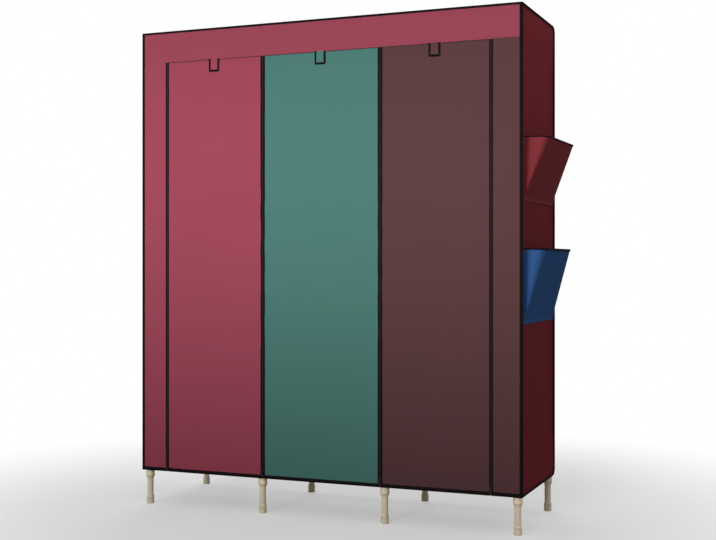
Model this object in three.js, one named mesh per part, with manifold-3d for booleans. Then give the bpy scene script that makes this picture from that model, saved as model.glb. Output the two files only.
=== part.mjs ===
// A free-standing fabric wardrobe: a frame of tubes on eight legs inside a taut cloth cover.
// Lengths are in millimetres. +X is to the right as the wardrobe is faced, +Y to the back, +Z up.

import * as THREE from 'three';
import { mergeVertices } from 'three/addons/utils/BufferGeometryUtils.js';
import Module from 'manifold-3d';

const wasm = await Module();
wasm.setup();

// Overall sizes
const coverWidth = 1400;
const coverDepth = 450;
const wardrobeHeight = 1700;
const hemHeight = 125;
const headerHeight = 110;
const stileWidth = 100;
const centreDoorWidth = 436;
const bayCount = 3;

// Cloth and fits
const clothThickness = 2;
const fitGap = 0.3;
const runningGap = 1;
const cornerRadius = 26;
const overrun = 5;

// Tubes and moulded connectors
const tubeRadius = 11;
const tubeWall = 0.8;
const connectorWall = 3.7;
const connectorCrown = 8;
const armLength = 34;
const topSleeveLength = 30;
const cupDrop = 24;
const cupTaper = 9;
const cupTipWall = 1;
const baseRailRise = 23;

// Foot caps
const footCapWall = 2.2;
const footCapHeight = 27.5;
const footCapFloor = 3;
const footCapEdge = 2;

// Shelves and hanging rails
const shelfHeights = [500, 860, 1220];
const shelfSleeveHalf = 20;
const shelfHemWall = 1.5;
const baseShelfLip = 5;
const hangerBridge = 12;
const hangerSleeveLength = 36;
const hangerSocketLength = 22;
const hangerSocketFloor = 7;

// Doors, straps and zips
const doorHemHeight = 12;
const doorHemProud = 1;
const strapWidth = 40;
const strapLength = 45;
const zipSlit = 3;
const zipNeckWidth = 2.2;
const sliderWidth = 10;
const sliderHeight = 14;
const sliderFrontThickness = 2.2;
const sliderBackThickness = 1.5;
const sliderCorner = 2.5;
const sliderRise = 20;
const lugWidth = 3;
const lugHalf = 2.2;
const lugReach = 2.6;
const lugDrop = 3;
const pullWidth = 6.6;
const pullLength = 28;
const pullThickness = 1.2;
const pullWindowLength = 8;
const pullWindowGap = 0.6;

// Side pockets: lip and bottom heights, how far the lip stands out, and where its folds are
const upperPocket = { lip: 1278, taperEnd: 1083, bottom: 1069, reach: 78 };
const lowerPocket = { lip: 917, taperEnd: 684, bottom: 672, reach: 69 };
const pocketFrontFold = 80;
const pocketTurnShares = [
  { out: 0.08, along: 0.5 },
  { out: 0.85, along: 0.78 },
  { out: 0.95, along: 1 },
];
const pocketBackFold = 47;
const pocketSeamInset = 5;
const pocketSeamMargin = 6;
const pocketFlatReach = 4;
const pocketFloor = 3;

// Facets of a full turn, and of a rounded corner
const sides = 12;
const cornerSteps = 4;
const domeSteps = 3;

// Fits worked out from the sizes above
const boreRadius = tubeRadius + fitGap;
const tubeBoreRadius = tubeRadius - tubeWall;
const connectorRadius = boreRadius + connectorWall;
const halfWidth = coverWidth / 2;
const halfDepth = coverDepth / 2;
const innerHalfWidth = halfWidth - clothThickness - fitGap;
const headerZ = wardrobeHeight - headerHeight;
const innerCornerRadius = cornerRadius - clothThickness - fitGap;
const cornerInset = cornerRadius - (innerCornerRadius - connectorRadius) / Math.SQRT2;
const cornerCentreY = halfDepth - cornerRadius;
const sliderDepthBehind = clothThickness + fitGap + sliderBackThickness;
const frontInset = sliderDepthBehind + runningGap + connectorRadius;
const outerPostX = innerHalfWidth - connectorRadius;
const innerPostX = outerPostX / bayCount;
const baseRailZ = hemHeight + baseRailRise;
const topRailZ = wardrobeHeight - cornerInset;
const socketCeiling = topRailZ + connectorRadius - connectorCrown;
const outerZipX = halfWidth - stileWidth;
const innerZipX = centreDoorWidth / 2;

const columns = [
  { name: 'left', x: -outerPostX, arms: [1], bay: 1 },
  { name: 'centre_left', x: -innerPostX, arms: [-1, 1], bay: -1 },
  { name: 'centre_right', x: innerPostX, arms: [-1, 1], bay: 1 },
  { name: 'right', x: outerPostX, arms: [-1], bay: -1 },
];
const rows = [
  { name: 'front', y: frontInset - halfDepth, inward: 1 },
  { name: 'back', y: halfDepth - cornerInset, inward: -1 },
];
const [frontRow, backRow] = rows;

// Shape helpers

// A closed geometry as a solid that can be joined and cut: shared corners merged, empty faces dropped.
function toSolid(geometry) {
  geometry.deleteAttribute('normal');
  geometry.deleteAttribute('uv');
  const merged = mergeVertices(geometry);
  const corners = Array.from(merged.index.array);
  const faces = [];
  for (let i = 0; i < corners.length; i += 3) {
    const [a, b, c] = corners.slice(i, i + 3);
    if (a !== b && b !== c && c !== a) faces.push(a, b, c);
  }
  return new wasm.Manifold(new wasm.Mesh({
    numProp: 3,
    vertProperties: new Float32Array(merged.attributes.position.array),
    triVerts: new Uint32Array(faces),
  }));
}

function union(solids) {
  return solids.reduce((whole, next) => whole.add(next));
}

function cutAll(whole, cutters) {
  return cutters.reduce((rest, cutter) => rest.subtract(cutter), whole);
}

// A profile of [radius, distance along] points, turned round the line through `at` along an axis.
function turned(axis, profile, at = [0, 0, 0]) {
  const points = profile.map(([radius, along]) => new THREE.Vector2(radius, along));
  const geometry = new THREE.LatheGeometry(points, sides);
  if (axis === 'x') geometry.rotateZ(-Math.PI / 2);
  if (axis === 'z') geometry.rotateX(Math.PI / 2);
  geometry.translate(...at);
  return toSolid(geometry);
}

function rod(axis, radius, start, end, at) {
  return turned(axis, [[0, start], [radius, start], [radius, end], [0, end]], at);
}

function tube(axis, start, end, at) {
  const wall = [[tubeBoreRadius, start], [tubeRadius, start], [tubeRadius, end], [tubeBoreRadius, end]];
  return turned(axis, [...wall, wall[0]], at);
}

// A rod from a centre out to a distance on one side, which is 1 or -1.
function arm(axis, radius, side, reach, at) {
  return rod(axis, radius, Math.min(0, side * reach), Math.max(0, side * reach), at);
}

function slab([x0, x1], [y0, y1], [z0, z1]) {
  const geometry = new THREE.BoxGeometry(x1 - x0, y1 - y0, z1 - z0);
  geometry.translate((x0 + x1) / 2, (y0 + y1) / 2, (z0 + z1) / 2);
  return toSolid(geometry);
}

// An outline drawn in Y and Z, carried along X from x0 to x1.
function prismAlongX(outline, x0, x1) {
  const geometry = new THREE.ExtrudeGeometry(outline, {
    depth: x1 - x0,
    bevelEnabled: false,
    curveSegments: cornerSteps,
  });
  const toX = new THREE.Vector3(1, 0, 0);
  const toY = new THREE.Vector3(0, 1, 0);
  const toZ = new THREE.Vector3(0, 0, 1);
  geometry.applyMatrix4(new THREE.Matrix4().makeBasis(toY, toZ, toX));
  geometry.translate(x0, 0, 0);
  return toSolid(geometry);
}

// An outline drawn in X and Z, carried towards the back from y0 to y1.
function prismAlongY(outline, y0, y1) {
  const geometry = new THREE.ExtrudeGeometry(outline, {
    depth: y1 - y0,
    bevelEnabled: false,
    curveSegments: cornerSteps,
  });
  geometry.rotateX(Math.PI / 2);
  geometry.translate(0, y1, 0);
  return toSolid(geometry);
}

// Frame

// The cup of a base connector: a sleeve on the post, tapered where it ends under the hem.
function baseSleeve(x, y) {
  const shoulder = hemHeight - cupDrop;
  const profile = [
    [0, shoulder - cupTaper],
    [boreRadius + cupTipWall, shoulder - cupTaper],
    [connectorRadius, shoulder],
    [connectorRadius, baseRailZ + connectorRadius],
    [0, baseRailZ + connectorRadius],
  ];
  return turned('z', profile, [x, y, 0]);
}

// A top connector's sleeve ends in a dome of the connector's own radius.
function topSleeve(x, y) {
  const dome = [];
  for (let i = 0; i <= domeSteps; i += 1) {
    const turn = (i / domeSteps) * (Math.PI / 2);
    dome.push([connectorRadius * Math.cos(turn), connectorRadius * Math.sin(turn)]);
  }
  dome[domeSteps][0] = 0;
  const profile = [[0, -topSleeveLength], [connectorRadius, -topSleeveLength], ...dome];
  return turned('z', profile, [x, y, topRailZ]);
}

const rings = {
  base: { z: baseRailZ, sleeve: baseSleeve, boreTop: baseRailZ + connectorRadius + overrun },
  top: { z: topRailZ, sleeve: topSleeve, boreTop: socketCeiling },
};

// A long rail: the tubes between the posts of one row, pressed into a moulded connector on each post.
function longRail(row, ring) {
  const parts = [rod('x', tubeRadius, -outerPostX, outerPostX, [0, row.y, ring.z])];
  const bores = [rod('x', tubeBoreRadius, -outerPostX, outerPostX, [0, row.y, ring.z])];
  for (const { x, arms } of columns) {
    const centre = [x, row.y, ring.z];
    parts.push(ring.sleeve(x, row.y));
    parts.push(...arms.map((side) => arm('x', connectorRadius, side, armLength, centre)));
    parts.push(arm('y', connectorRadius, row.inward, armLength, centre));
    bores.push(arm('y', boreRadius, row.inward, armLength + overrun, centre));
    bores.push(rod('z', boreRadius, 0, ring.boreTop, [x, row.y, 0]));
  }
  return cutAll(union(parts), bores);
}

// A post stands on its foot cap's floor and ends inside the top connector.
const postBottom = footCapFloor + fitGap;
const postTop = socketCeiling - fitGap;

function post(column, row) {
  return tube('z', postBottom, postTop, [column.x, row.y, 0]);
}

function footCap(column, row) {
  const outerRadius = boreRadius + footCapWall;
  const profile = [
    [0, 0],
    [outerRadius - footCapEdge, 0],
    [outerRadius, footCapEdge],
    [outerRadius, footCapHeight],
    [boreRadius, footCapHeight],
    [boreRadius, footCapFloor],
    [0, footCapFloor],
  ];
  return turned('z', profile, [column.x, row.y, 0]);
}

// Cross rails run from front to back, and each end stops just short of its post.
const crossStart = frontRow.y + boreRadius;
const crossEnd = backRow.y - boreRadius;
const hangerY = (frontRow.y + backRow.y) / 2;
const hangerDrop = 2 * connectorRadius;

function baseCrossRail(column) {
  return tube('y', crossStart, crossEnd, [column.x, 0, baseRailZ]);
}

// A top cross rail wears a moulded hanger whose socket holds the end of a hanging rail below it.
function topCrossRail(column) {
  const { x, bay } = column;
  const socketCentre = [x, hangerY, topRailZ - hangerDrop];
  const socketBack = [x + bay * (hangerSocketFloor - connectorRadius), hangerY, topRailZ - hangerDrop];
  const socketDepth = hangerSocketLength + connectorRadius - hangerSocketFloor + overrun;
  const parts = [
    rod('y', tubeRadius, crossStart, crossEnd, [x, 0, topRailZ]),
    rod('y', connectorRadius, -hangerSleeveLength / 2, hangerSleeveLength / 2, [x, hangerY, topRailZ]),
    slab(
      [x - hangerBridge, x + hangerBridge],
      [hangerY - hangerBridge, hangerY + hangerBridge],
      [topRailZ - hangerDrop, topRailZ],
    ),
    arm('x', connectorRadius, bay, hangerSocketLength, socketCentre),
    arm('x', connectorRadius, -bay, connectorRadius, socketCentre),
  ];
  return cutAll(union(parts), [
    rod('y', tubeBoreRadius, crossStart - overrun, crossEnd + overrun, [x, 0, topRailZ]),
    arm('x', boreRadius, bay, socketDepth, socketBack),
  ]);
}

// A hanging rail reaches to the floors of the two sockets of its bay.
function hangingRail(leftColumn, rightColumn) {
  const intoSocket = connectorRadius - hangerSocketFloor - fitGap;
  const start = leftColumn.x - intoSocket;
  const end = rightColumn.x + intoSocket;
  return tube('x', start, end, [0, hangerY, topRailZ - hangerDrop]);
}

// Shelves

// The base shelf is one cloth on the base connectors, cut out round the posts.
function baseShelf() {
  const z = baseRailZ + connectorRadius + fitGap;
  const cloth = slab(
    [-innerHalfWidth, innerHalfWidth],
    [frontRow.y - baseShelfLip, backRow.y + baseShelfLip],
    [z, z + clothThickness],
  );
  const holes = rows.flatMap((row) => columns.map(({ x }) => (
    rod('z', boreRadius, z - overrun, z + clothThickness + overrun, [x, row.y, 0])
  )));
  return cutAll(cloth, holes);
}

// A centre shelf is a cloth with a tube in the hem along its front and back edges. Each tube is
// pressed into the arms of two moulded sleeves, which grip the centre posts.
function centreShelf(z) {
  const clothEnd = innerPostX - armLength - fitGap;
  const hemRadius = tubeRadius + shelfHemWall;
  const parts = [slab(
    [-clothEnd, clothEnd],
    [frontRow.y, backRow.y],
    [z + hemRadius - clothThickness, z + hemRadius],
  )];
  const bores = [];
  for (const { y } of rows) {
    parts.push(rod('x', tubeRadius, -innerPostX, innerPostX, [0, y, z]));
    parts.push(rod('x', hemRadius, -clothEnd, clothEnd, [0, y, z]));
    bores.push(rod('x', tubeBoreRadius, -innerPostX, innerPostX, [0, y, z]));
    for (const side of [-1, 1]) {
      const centre = [side * innerPostX, y, z];
      parts.push(rod('z', connectorRadius, -shelfSleeveHalf, shelfSleeveHalf, centre));
      parts.push(arm('x', connectorRadius, -side, armLength, centre));
      bores.push(rod('z', boreRadius, -shelfSleeveHalf - overrun, shelfSleeveHalf + overrun, centre));
    }
  }
  return cutAll(union(parts), bores);
}

// Cover

const frontFace = [-halfDepth, clothThickness - halfDepth];
const panelTop = wardrobeHeight - clothThickness - fitGap;

function topPanel() {
  return slab(
    [-halfWidth, halfWidth],
    [-halfDepth, cornerCentreY - fitGap],
    [wardrobeHeight - clothThickness, wardrobeHeight],
  );
}

function header() {
  return slab([-halfWidth, halfWidth], frontFace, [headerZ, panelTop]);
}

function stile(side) {
  const edges = [side * halfWidth, side * (outerZipX + zipSlit / 2)].sort((a, b) => a - b);
  return slab(edges, frontFace, [hemHeight, headerZ - fitGap]);
}

// The back turns forward at its top and bottom, round corners that the side panels share.
function backPanel() {
  const upperZ = wardrobeHeight - cornerRadius;
  const lowerZ = hemHeight + cornerRadius;
  const inner = cornerRadius - clothThickness;
  const quarter = Math.PI / 2;
  const outline = new THREE.Shape();
  outline.moveTo(cornerCentreY, wardrobeHeight);
  outline.absarc(cornerCentreY, upperZ, cornerRadius, quarter, 0, true);
  outline.absarc(cornerCentreY, lowerZ, cornerRadius, 0, -quarter, true);
  outline.lineTo(cornerCentreY, hemHeight + clothThickness);
  outline.absarc(cornerCentreY, lowerZ, inner, -quarter, 0, false);
  outline.absarc(cornerCentreY, upperZ, inner, 0, quarter, false);
  const notches = columns.map(({ x }) => (
    rod('z', connectorRadius + fitGap, hemHeight - overrun, lowerZ, [x, backRow.y, 0])
  ));
  return cutAll(prismAlongX(outline, -halfWidth, halfWidth), notches);
}

function sidePanel(side) {
  const front = clothThickness + fitGap - halfDepth;
  const bottom = hemHeight + clothThickness + fitGap;
  const quarter = Math.PI / 2;
  const outline = new THREE.Shape();
  outline.moveTo(front, bottom);
  outline.lineTo(cornerCentreY, bottom);
  outline.absarc(cornerCentreY, hemHeight + cornerRadius, innerCornerRadius, -quarter, 0, false);
  outline.absarc(cornerCentreY, wardrobeHeight - cornerRadius, innerCornerRadius, 0, quarter, false);
  outline.lineTo(front, panelTop);
  const faces = [side * halfWidth, side * (halfWidth - clothThickness)].sort((a, b) => a - b);
  return prismAlongX(outline, ...faces);
}

// Doors and straps

const doors = [
  { name: 'left_door', from: -outerZipX, to: -innerZipX },
  { name: 'centre_door', from: -innerZipX, to: innerZipX },
  { name: 'right_door', from: innerZipX, to: outerZipX },
];

function doorPanel({ from, to }) {
  const slit = zipSlit / 2;
  return slab(
    [from + slit, to - slit],
    frontFace,
    [hemHeight + doorHemHeight + fitGap, headerZ - fitGap],
  );
}

// The hem tape is folded over the door's lower edge, and stops clear of the zip sliders.
function doorHem({ from, to }) {
  const end = sliderWidth / 2 + runningGap;
  return slab(
    [from + end, to - end],
    [frontFace[0] - doorHemProud, frontFace[1] + doorHemProud],
    [hemHeight, hemHeight + doorHemHeight],
  );
}

// A tie strap hangs from the header's seam, flat against the door.
function strap({ from, to }) {
  const middle = (from + to) / 2;
  const back = frontFace[0] - fitGap;
  return slab(
    [middle - strapWidth / 2, middle + strapWidth / 2],
    [back - clothThickness, back],
    [headerZ - fitGap - strapLength, headerZ - fitGap],
  );
}

// Zip sliders and pulls, at their lowest place, which keeps the doors shut

const zips = [
  { name: 'left_zip', x: -outerZipX },
  { name: 'centre_left_zip', x: -innerZipX },
  { name: 'centre_right_zip', x: innerZipX },
  { name: 'right_zip', x: outerZipX },
];
const sliderZ = hemHeight + sliderRise;
const plateBack = frontFace[0] - fitGap;
const plateFront = plateBack - sliderFrontThickness;
const pullAxisY = plateFront - lugReach;
const pullAxisZ = sliderZ + sliderHeight - lugDrop;

function sliderOutline(x) {
  const half = sliderWidth / 2;
  const top = sliderZ + sliderHeight;
  const outline = new THREE.Shape();
  outline.moveTo(x - half + sliderCorner, sliderZ);
  outline.lineTo(x + half - sliderCorner, sliderZ);
  outline.lineTo(x + half, sliderZ + sliderCorner);
  outline.lineTo(x + half, top - sliderCorner);
  outline.lineTo(x + half - sliderCorner, top);
  outline.lineTo(x - half + sliderCorner, top);
  outline.lineTo(x - half, top - sliderCorner);
  outline.lineTo(x - half, sliderZ + sliderCorner);
  outline.closePath();
  return outline;
}

// A slider is two plates, before and behind the cloth, on a neck that runs in the zip.
function zipSlider({ x }) {
  const backStart = frontFace[1] + fitGap;
  const backEnd = backStart + sliderBackThickness;
  const eyeRadius = pullThickness / Math.SQRT2 + fitGap;
  const body = union([
    prismAlongY(sliderOutline(x), plateFront, plateBack),
    prismAlongY(sliderOutline(x), backStart, backEnd),
    slab(
      [x - zipNeckWidth / 2, x + zipNeckWidth / 2],
      [plateBack - sliderFrontThickness / 2, backStart + sliderBackThickness / 2],
      [sliderZ + sliderCorner, sliderZ + sliderHeight - sliderCorner],
    ),
    slab(
      [x - lugWidth / 2, x + lugWidth / 2],
      [pullAxisY - lugHalf, plateBack - sliderFrontThickness / 2],
      [pullAxisZ - lugHalf, pullAxisZ + lugHalf],
    ),
  ]);
  return body.subtract(rod('x', eyeRadius, -lugWidth, lugWidth, [x, pullAxisY, pullAxisZ]));
}

// A pull is a flat tab whose top bar passes through the slider's lug.
function zipPull({ x }) {
  const half = pullWidth / 2;
  const bar = pullThickness / 2;
  const windowHalf = lugWidth / 2 + pullWindowGap;
  const outline = new THREE.Shape();
  outline.moveTo(x - half, pullAxisZ + bar);
  outline.lineTo(x - half, pullAxisZ + bar - pullLength + half);
  outline.absarc(x, pullAxisZ + bar - pullLength + half, half, Math.PI, 2 * Math.PI, false);
  outline.lineTo(x + half, pullAxisZ + bar);
  outline.closePath();
  const opening = new THREE.Path();
  opening.moveTo(x - windowHalf, pullAxisZ - bar);
  opening.lineTo(x - windowHalf, pullAxisZ - bar - pullWindowLength);
  opening.lineTo(x + windowHalf, pullAxisZ - bar - pullWindowLength);
  opening.lineTo(x + windowHalf, pullAxisZ - bar);
  opening.closePath();
  outline.holes.push(opening);
  return prismAlongY(outline, pullAxisY - bar, pullAxisY + bar);
}

// Side pockets

// A pocket's plan at one height, as [distance out from the side, place along the depth] points.
// Its front leaves the seam almost flat, rises steeply and turns into the outer face.
function pocketPlan(reach, seamInset, thickness, behind) {
  const front = pocketSeamInset + seamInset - halfDepth;
  const back = halfDepth - pocketSeamInset - seamInset;
  const wall = seamInset > 0 ? clothThickness : 0;
  const turns = pocketTurnShares.map(({ out, along }) => [
    thickness + out * (reach - thickness),
    wall + along * (pocketFrontFold - pocketSeamInset) + pocketSeamInset - halfDepth,
  ]);
  return [
    [behind, front],
    [thickness, front],
    ...turns,
    [reach, halfDepth - pocketBackFold],
    [thickness, back],
    [behind, back],
  ];
}

// A closed body through plans with as many points each, from the lowest to the highest.
function loftPlans(levels) {
  const count = levels[0].plan.length;
  const points = levels.flatMap(({ z, plan }) => plan.flatMap(([out, y]) => [out, y, z]));
  const faces = [];
  for (let i = 1; i < count - 1; i += 1) {
    faces.push(0, i + 1, i);
    const top = (levels.length - 1) * count;
    faces.push(top, top + i, top + i + 1);
  }
  for (let level = 0; level < levels.length - 1; level += 1) {
    for (let i = 0; i < count; i += 1) {
      const here = level * count + i;
      const next = level * count + (i + 1) % count;
      faces.push(here, next, here + count);
      faces.push(next, next + count, here + count);
    }
  }
  const geometry = new THREE.BufferGeometry();
  geometry.setAttribute('position', new THREE.Float32BufferAttribute(points, 3));
  geometry.setIndex(faces);
  return geometry;
}

// The pocket's cloth is sewn to the side panel along its ends and its bottom, and gapes at its lip.
function sidePocket({ lip, taperEnd, bottom, reach }) {
  const outer = loftPlans([
    { z: bottom, plan: pocketPlan(pocketFlatReach, 0, clothThickness, 0) },
    { z: taperEnd, plan: pocketPlan(pocketFlatReach, 0, clothThickness, 0) },
    { z: lip, plan: pocketPlan(reach, 0, clothThickness, 0) },
  ]);
  const flatInside = pocketFlatReach - clothThickness;
  const slope = (reach - pocketFlatReach) / (lip - taperEnd);
  const aboveLip = reach - clothThickness + slope * overrun;
  const hollow = loftPlans([
    { z: bottom + pocketFloor, plan: pocketPlan(flatInside, pocketSeamMargin, 0, -overrun) },
    { z: taperEnd, plan: pocketPlan(flatInside, pocketSeamMargin, 0, -overrun) },
    { z: lip + overrun, plan: pocketPlan(aboveLip, pocketSeamMargin, 0, -overrun) },
  ]);
  const seat = halfWidth + fitGap;
  outer.translate(seat, 0, 0);
  hollow.translate(seat, 0, 0);
  return toSolid(outer).subtract(toSolid(hollow));
}

// Materials

const colours = {
  burgundy: 0x8a3b4c,
  green: 0x46706a,
  wineBrown: 0x55363a,
  darkBurgundy: 0x4b1d22,
  pocketRed: 0x7d383e,
  pocketBlue: 0x254875,
  lining: 0x3a2a2c,
  black: 0x17161a,
  beige: 0xb5a68e,
  zinc: 0x6d6f73,
};

function finish(colour, roughness, metalness = 0) {
  return () => new THREE.MeshStandardMaterial({ color: colours[colour], roughness, metalness });
}

const coatedTube = finish('beige', 0.45);
const moulding = finish('beige', 0.55);
const tape = finish('black', 0.8);
const zipMetal = finish('zinc', 0.4, 0.9);
const cloth = (colour) => finish(colour, 0.9);

// Assembly

const wardrobe = new THREE.Group();
const pocketShift = (upperPocket.reach + fitGap) / 2;
wardrobe.position.set(-pocketShift, 0, 0);

function addPiece(name, shape, material) {
  const { vertProperties, triVerts } = shape.getMesh();
  const geometry = new THREE.BufferGeometry();
  geometry.setAttribute('position', new THREE.BufferAttribute(vertProperties, 3));
  geometry.setIndex(new THREE.BufferAttribute(triVerts, 1));
  geometry.computeVertexNormals();
  const mesh = new THREE.Mesh(geometry, material());
  mesh.name = name;
  wardrobe.add(mesh);
}

for (const row of rows) {
  for (const column of columns) {
    addPiece(`post_${row.name}_${column.name}`, post(column, row), coatedTube);
    addPiece(`foot_cap_${row.name}_${column.name}`, footCap(column, row), moulding);
  }
  addPiece(`base_rail_${row.name}`, longRail(row, rings.base), moulding);
  addPiece(`top_rail_${row.name}`, longRail(row, rings.top), moulding);
}
for (const column of columns) {
  addPiece(`base_cross_rail_${column.name}`, baseCrossRail(column), coatedTube);
  addPiece(`top_cross_rail_${column.name}`, topCrossRail(column), coatedTube);
}
addPiece('hanging_rail_left', hangingRail(columns[0], columns[1]), coatedTube);
addPiece('hanging_rail_right', hangingRail(columns[2], columns[3]), coatedTube);

addPiece('base_shelf', baseShelf(), cloth('lining'));
const shelfNames = ['lower_shelf', 'middle_shelf', 'upper_shelf'];
shelfHeights.forEach((z, i) => addPiece(shelfNames[i], centreShelf(z), cloth('lining')));

addPiece('top_panel', topPanel(), cloth('burgundy'));
addPiece('back_panel', backPanel(), cloth('darkBurgundy'));
addPiece('left_side_panel', sidePanel(-1), cloth('darkBurgundy'));
addPiece('right_side_panel', sidePanel(1), cloth('darkBurgundy'));
addPiece('header', header(), cloth('burgundy'));
addPiece('left_stile', stile(-1), cloth('burgundy'));
addPiece('right_stile', stile(1), cloth('wineBrown'));

const doorColours = ['burgundy', 'green', 'wineBrown'];
doors.forEach((door, i) => {
  addPiece(`${door.name}_panel`, doorPanel(door), cloth(doorColours[i]));
  addPiece(`${door.name}_hem`, doorHem(door), tape);
  addPiece(`${door.name}_strap`, strap(door), cloth(doorColours[i]));
});
for (const zip of zips) {
  addPiece(`${zip.name}_slider`, zipSlider(zip), zipMetal);
  addPiece(`${zip.name}_pull`, zipPull(zip), zipMetal);
}
addPiece('upper_side_pocket', sidePocket(upperPocket), cloth('pocketRed'));
addPiece('lower_side_pocket', sidePocket(lowerPocket), cloth('pocketBlue'));

export default wardrobe;
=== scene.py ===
# %% [markdown]
# # A cloth wardrobe over its frame of tubes
# A portable wardrobe is a cage of thin tubes inside a sewn cloth cover. The solids of the frame
# come in first and say where everything is. Each visible surface is then worked out with numpy
# and laid over them, so that nothing has to be fitted by hand.

# %% Load the solids
import math

import bmesh
import bpy
import numpy as np
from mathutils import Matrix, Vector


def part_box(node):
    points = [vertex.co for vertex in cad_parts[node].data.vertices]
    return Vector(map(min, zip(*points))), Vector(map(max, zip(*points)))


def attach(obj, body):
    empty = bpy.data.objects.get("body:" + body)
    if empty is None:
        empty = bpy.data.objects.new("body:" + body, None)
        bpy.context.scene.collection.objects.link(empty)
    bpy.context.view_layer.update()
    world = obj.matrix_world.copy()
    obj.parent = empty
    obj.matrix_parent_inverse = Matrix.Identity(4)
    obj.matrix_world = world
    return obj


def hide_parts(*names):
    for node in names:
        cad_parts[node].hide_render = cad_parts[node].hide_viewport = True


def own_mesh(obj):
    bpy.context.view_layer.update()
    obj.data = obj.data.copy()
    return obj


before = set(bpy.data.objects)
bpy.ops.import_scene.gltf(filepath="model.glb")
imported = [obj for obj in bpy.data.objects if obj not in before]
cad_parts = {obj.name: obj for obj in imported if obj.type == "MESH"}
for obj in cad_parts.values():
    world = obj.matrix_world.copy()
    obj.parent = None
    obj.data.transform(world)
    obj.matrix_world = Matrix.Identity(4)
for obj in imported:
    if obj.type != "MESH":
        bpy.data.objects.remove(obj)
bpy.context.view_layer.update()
mm, pi = 0.001, math.pi

# %% [markdown]
# ## Where things are
# Lengths are metres, +X to the right, +Y to the back, +Z up. The box of each solid gives the
# edges that the cloth has to meet, and one short function reads it.

# %% Sizes of the cover


def span(node):
    """The lowest and the highest corner of a solid."""
    low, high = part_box(node)
    return np.array(low), np.array(high)


def centre(node):
    low, high = span(node)
    return (low + high) / 2


left, front, header_edge = span("header")[0]
right = span("header")[1][0]
back = span("back_panel")[1][1]
top = span("top_panel")[1][2]
hem_edge = span("left_stile")[0][2]
corner = 26 * mm
middle = (left + right) / 2
upright, across, inward = np.array([0, 0, 1.0]), np.array([1.0, 0, 0]), np.array([0, 1.0, 0])
print("cover is", round(right - left, 3), "wide,", round(back - front, 3), "deep and", round(top, 3), "tall")

# %% [markdown]
# ## The camera
# The camera is level, a little over half the height of the wardrobe, and looks at it from the
# right. A level camera keeps the upright edges parallel, and a small vertical shift frames them.

# %% Camera
camera = bpy.data.objects.new("camera", bpy.data.cameras.new("camera"))
bpy.context.collection.objects.link(camera)
bpy.context.scene.camera = camera
camera.location = (middle + 1.6616, -3.9437, 0.867)
camera.rotation_euler = (math.radians(90), 0, math.radians(22.27))
camera.data.sensor_width = 36
camera.data.lens = 60.26
camera.data.shift_y = -0.0087
print("camera lens", round(camera.data.lens, 2), "mm")

# %% [markdown]
# ## Materials are graphs
# A finish is a small graph of nodes. One helper adds a node with its settings and its inputs, so
# a graph reads as a few lines. Colours are written as they look on a screen and turned into the
# linear values that the shader works with.

# %% Helpers for materials


def linear(red, green, blue):
    """Screen colour, 0 to 255, as linear light: c / 12.92 near black, else ((c + 0.055) / 1.055) ** 2.4."""
    c = np.array([red, green, blue]) / 255
    return (*np.where(c <= 0.04045, c / 12.92, ((c + 0.055) / 1.055) ** 2.4), 1.0)


def add_node(tree, kind, inputs=None, **settings):
    """A shader node. An input is a value, or the output of another node that it is linked to."""
    node = tree.nodes.new("ShaderNode" + kind)
    for name, value in settings.items():
        setattr(node, name, value)
    for name, value in (inputs or {}).items():
        if isinstance(value, bpy.types.NodeSocket):
            tree.links.new(value, node.inputs[name])
        else:
            node.inputs[name].default_value = value
    return node


def maths(tree, operation, first, second=0.0):
    """The output of a math node with one or two inputs."""
    return add_node(tree, "Math", {0: first, 1: second}, operation=operation).outputs[0]


def noise(tree, place, scale, detail):
    """The output of a noise of `scale` grains a metre."""
    return add_node(tree, "TexNoise", {"Vector": place, "Scale": scale, "Detail": detail}).outputs[0]


def shade_range(tree, factor, colour, spread):
    """A colour that drifts from `spread` darker to `spread` lighter as factor goes from 0 to 1."""
    base = np.array(linear(*colour)[:3])
    dark, light = [(*base * share, 1) for share in (1 - spread, 1 + spread)]
    return add_node(tree, "Mix", {0: factor, 6: dark, 7: light}, data_type="RGBA").outputs[2]


def start_material(name, roughness, **constants):
    """A material with its shader. Values that are the same all over are set on the shader itself."""
    material = bpy.data.materials.new(name)
    material.use_nodes = True
    shader = material.node_tree.nodes["Principled BSDF"]
    shader.inputs["Roughness"].default_value = roughness
    for socket, value in constants.items():
        shader.inputs[socket.replace("_", " ")].default_value = value
    return material, material.node_tree, shader


def add_surface(tree, shader, base, strength, distance, height):
    """Links the colour, and a bump of the given height, to the shader."""
    bump = add_node(tree, "Bump", {"Strength": strength, "Distance": distance, "Height": height})
    tree.links.new(base, shader.inputs["Base Color"])
    tree.links.new(bump.outputs[0], shader.inputs["Normal"])


# %% [markdown]
# ## Woven cloth
# The cover is a thin woven cloth. Close up it is a plain weave: the height of the surface is the
# product of two sines, one along the width and one along the length, measured in metres on the
# piece's own UV map, so that the threads follow every bend. From further off the colour only
# drifts a little, because dye never takes quite evenly.

# %% Cloth finishes


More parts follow.
